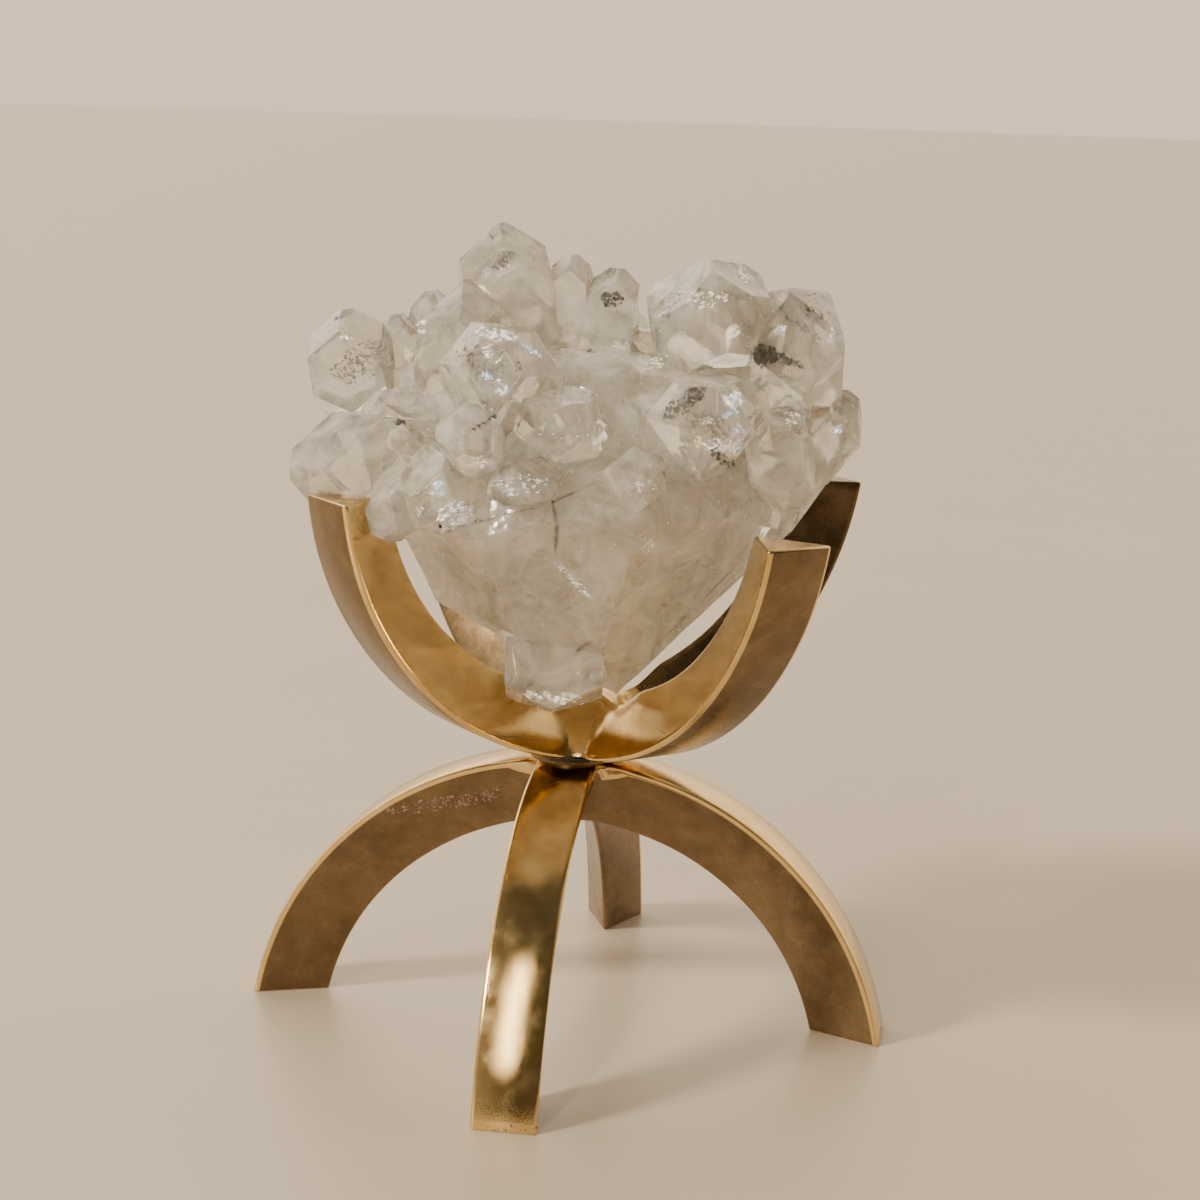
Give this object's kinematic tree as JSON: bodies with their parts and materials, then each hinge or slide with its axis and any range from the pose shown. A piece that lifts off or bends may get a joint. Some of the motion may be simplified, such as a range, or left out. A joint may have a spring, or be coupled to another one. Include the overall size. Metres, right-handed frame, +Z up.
{
  "type": "apophyllite crystal cluster in a brass claw stand",
  "caption": "Clear to milky apophyllite cluster of square, blunt-pointed crystals, resting in a brass claw stand of curved prongs on arched legs.",
  "frame": {"origin": "on the surface that the feet stand on, under the middle of the base", "axes": "+Z up, the pictured front faces -Y, +X to the right seen from the front"},
  "size_m": [0.0638, 0.0638, 0.0788],
  "materials": {
    "apophyllite": "clear to milky, vitreous faces with pearly ends, veils and dark specks inside",
    "brass": "hand polished with fine brushing, brown patina on the outer faces and scratches"
  },
  "bodies": {
    "root": {"apophyllite_cluster": "apophyllite", "claw_base": "brass", "claw_cup": "brass"}
  },
  "joints": []
}
